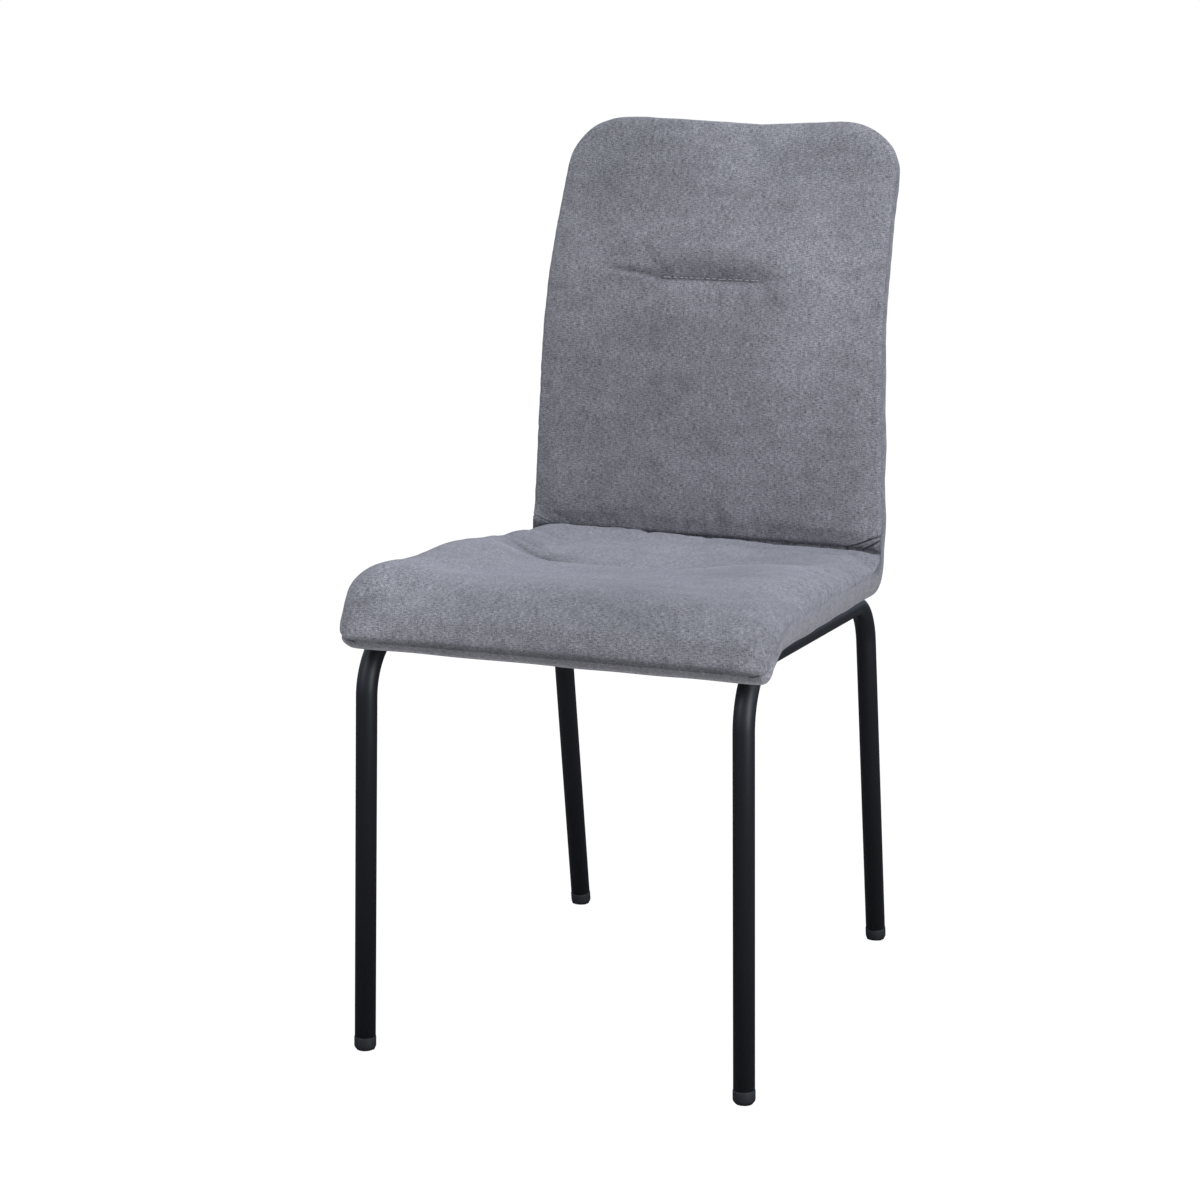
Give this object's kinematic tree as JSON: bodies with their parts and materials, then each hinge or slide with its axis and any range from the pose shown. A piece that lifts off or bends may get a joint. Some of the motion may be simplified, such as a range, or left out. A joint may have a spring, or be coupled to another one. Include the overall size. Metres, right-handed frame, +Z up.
{
  "type": "dining chair",
  "caption": "Upholstered dining chair: grey fabric over a bent plywood shell with stitched tufts, on a black round-tube leg frame.",
  "frame": {"origin": "on the floor, under the middle of the chair's outline", "axes": "-Y points out of the front of the chair, +X to the right of a viewer who faces the chair, +Z up"},
  "size_m": [0.4458, 0.604, 0.9325],
  "materials": {
    "upholstery_fabric": "soft brushed weave in heathered grey",
    "lining_fabric": "plain woven lining in brownish grey",
    "foam": "matte open-cell foam",
    "birch_plywood": "unfinished moulded plywood",
    "black_paint": "satin powder coat",
    "black_plastic": "matte moulded plastic",
    "zinc_steel": "bright zinc plate"
  },
  "bodies": {
    "root": {"back_foam": "foam", "crossbar_front": "black_paint", "crossbar_rear": "black_paint", "face_cover": "upholstery_fabric", "foot_cap_front_left": "black_plastic", "foot_cap_front_right": "black_plastic", "foot_cap_rear_left": "black_plastic", "foot_cap_rear_right": "black_plastic", "plywood_shell": "birch_plywood", "rear_cover": "upholstery_fabric", "rear_foam": "foam", "seat_foam": "foam", "seat_screw_front_left": "zinc_steel", "seat_screw_front_right": "zinc_steel", "seat_screw_rear_left": "zinc_steel", "seat_screw_rear_right": "zinc_steel", "side_tube_left": "black_paint", "side_tube_right": "black_paint", "tee_nut_front_left": "zinc_steel", "tee_nut_front_right": "zinc_steel", "tee_nut_rear_left": "zinc_steel", "tee_nut_rear_right": "zinc_steel", "underside_panel": "lining_fabric", "washer_front_left": "zinc_steel", "washer_front_right": "zinc_steel", "washer_rear_left": "zinc_steel", "washer_rear_right": "zinc_steel"}
  },
  "joints": []
}
